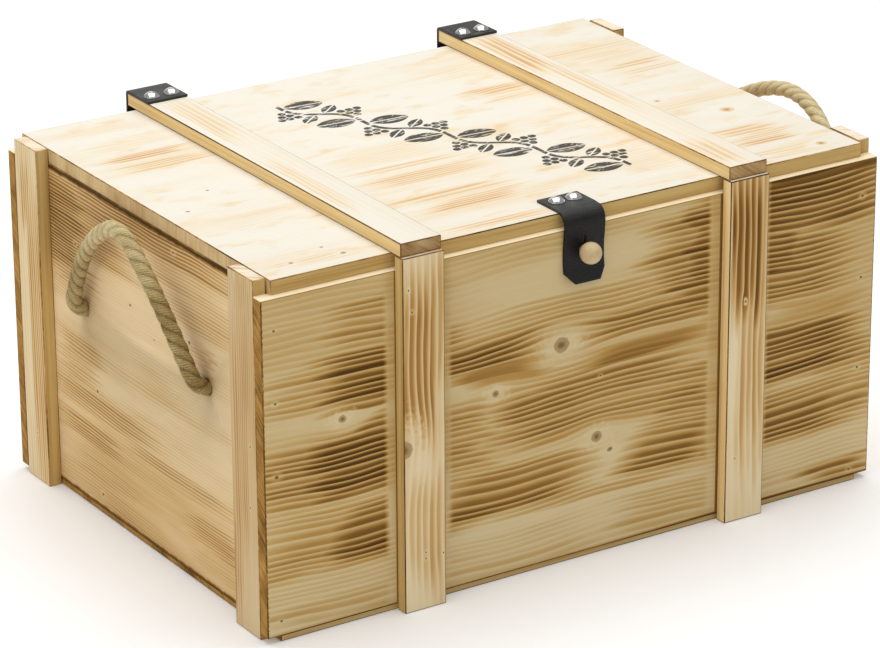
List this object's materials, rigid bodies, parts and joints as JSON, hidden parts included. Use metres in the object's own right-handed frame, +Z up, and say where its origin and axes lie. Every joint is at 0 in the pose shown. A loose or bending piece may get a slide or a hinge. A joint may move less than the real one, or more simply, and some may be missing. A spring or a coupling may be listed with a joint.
{
  "type": "wooden wine box",
  "caption": "Flat-lidded pine box with nailed battens, leather strap hinges, a leather closure strap buttoned on a turned knob, and a rope handle through each end.",
  "frame": {"origin": "centre of the underside, on the surface that the box stands on", "axes": "+X along the length to the right-hand end as seen from the front, the front faces -Y, +Z up"},
  "size_m": [0.6224, 0.4135, 0.292],
  "materials": {
    "flamed_pine": "planed pine, scorched in bands along the grain, unvarnished",
    "batten_pine": "planed pine, lightly scorched, unvarnished",
    "lid_pine": "pale planed pine, unvarnished",
    "black_leather": "black pebbled leather, satin",
    "dome_screw": "polished",
    "turned_wood": "turned and sanded, unvarnished",
    "hemp_rope": "three-strand laid hemp, slightly hairy",
    "steel": "dull"
  },
  "bodies": {
    "case": {"front_panel": "flamed_pine", "back_panel": "flamed_pine", "left_end_panel": "flamed_pine", "right_end_panel": "flamed_pine", "bottom_panel": "flamed_pine", "front_left_end_batten": "batten_pine", "rear_left_end_batten": "batten_pine", "front_right_end_batten": "batten_pine", "rear_right_end_batten": "batten_pine", "left_front_batten": "batten_pine", "right_front_batten": "batten_pine", "left_rear_batten": "batten_pine", "right_rear_batten": "batten_pine", "left_hinge_case_leaf": "black_leather", "right_hinge_case_leaf": "black_leather", "hinge_case_screws": "dome_screw", "closure_knob": "turned_wood", "knob_screw": "steel", "left_rope_knots": "hemp_rope", "right_rope_knots": "hemp_rope", "wall_brads": "steel", "bottom_brads": "steel", "front_batten_brads": "steel", "rear_batten_brads": "steel", "end_batten_brads": "steel"},
    "lid": {"lid_panel": "lid_pine", "left_lid_batten": "batten_pine", "right_lid_batten": "batten_pine", "left_hinge_lid_leaf": "black_leather", "right_hinge_lid_leaf": "black_leather", "hinge_lid_screws": "dome_screw", "closure_strap_tab": "black_leather", "closure_screws": "dome_screw", "lid_batten_brads": "steel"},
    "closure_flap": {"closure_strap_flap": "black_leather"},
    "left_handle": {"left_handle_rope": "hemp_rope"},
    "right_handle": {"right_handle_rope": "hemp_rope"}
  },
  "joints": [
    {"name": "lid_hinge", "type": "hinge", "parent": "case", "child": "lid", "pos_m": [0, 0.20165, 0.27], "axis": [-1, 0, 0], "range_deg": [0, 180]},
    {"name": "closure_flap_lift", "type": "hinge", "parent": "lid", "child": "closure_flap", "pos_m": [0, -0.1829, 0.2775], "axis": [-1, 0, 0], "range_deg": [0, 165], "deforming": ["closure_strap_flap"]},
    {"name": "left_handle_swing", "type": "hinge", "parent": "case", "child": "left_handle", "pos_m": [-0.2688, 0, 0.1645], "axis": [0, -1, 0], "range_deg": [-8, 171]},
    {"name": "right_handle_swing", "type": "hinge", "parent": "case", "child": "right_handle", "pos_m": [0.2688, 0, 0.1645], "axis": [0, 1, 0], "range_deg": [-36, 143]}
  ]
}
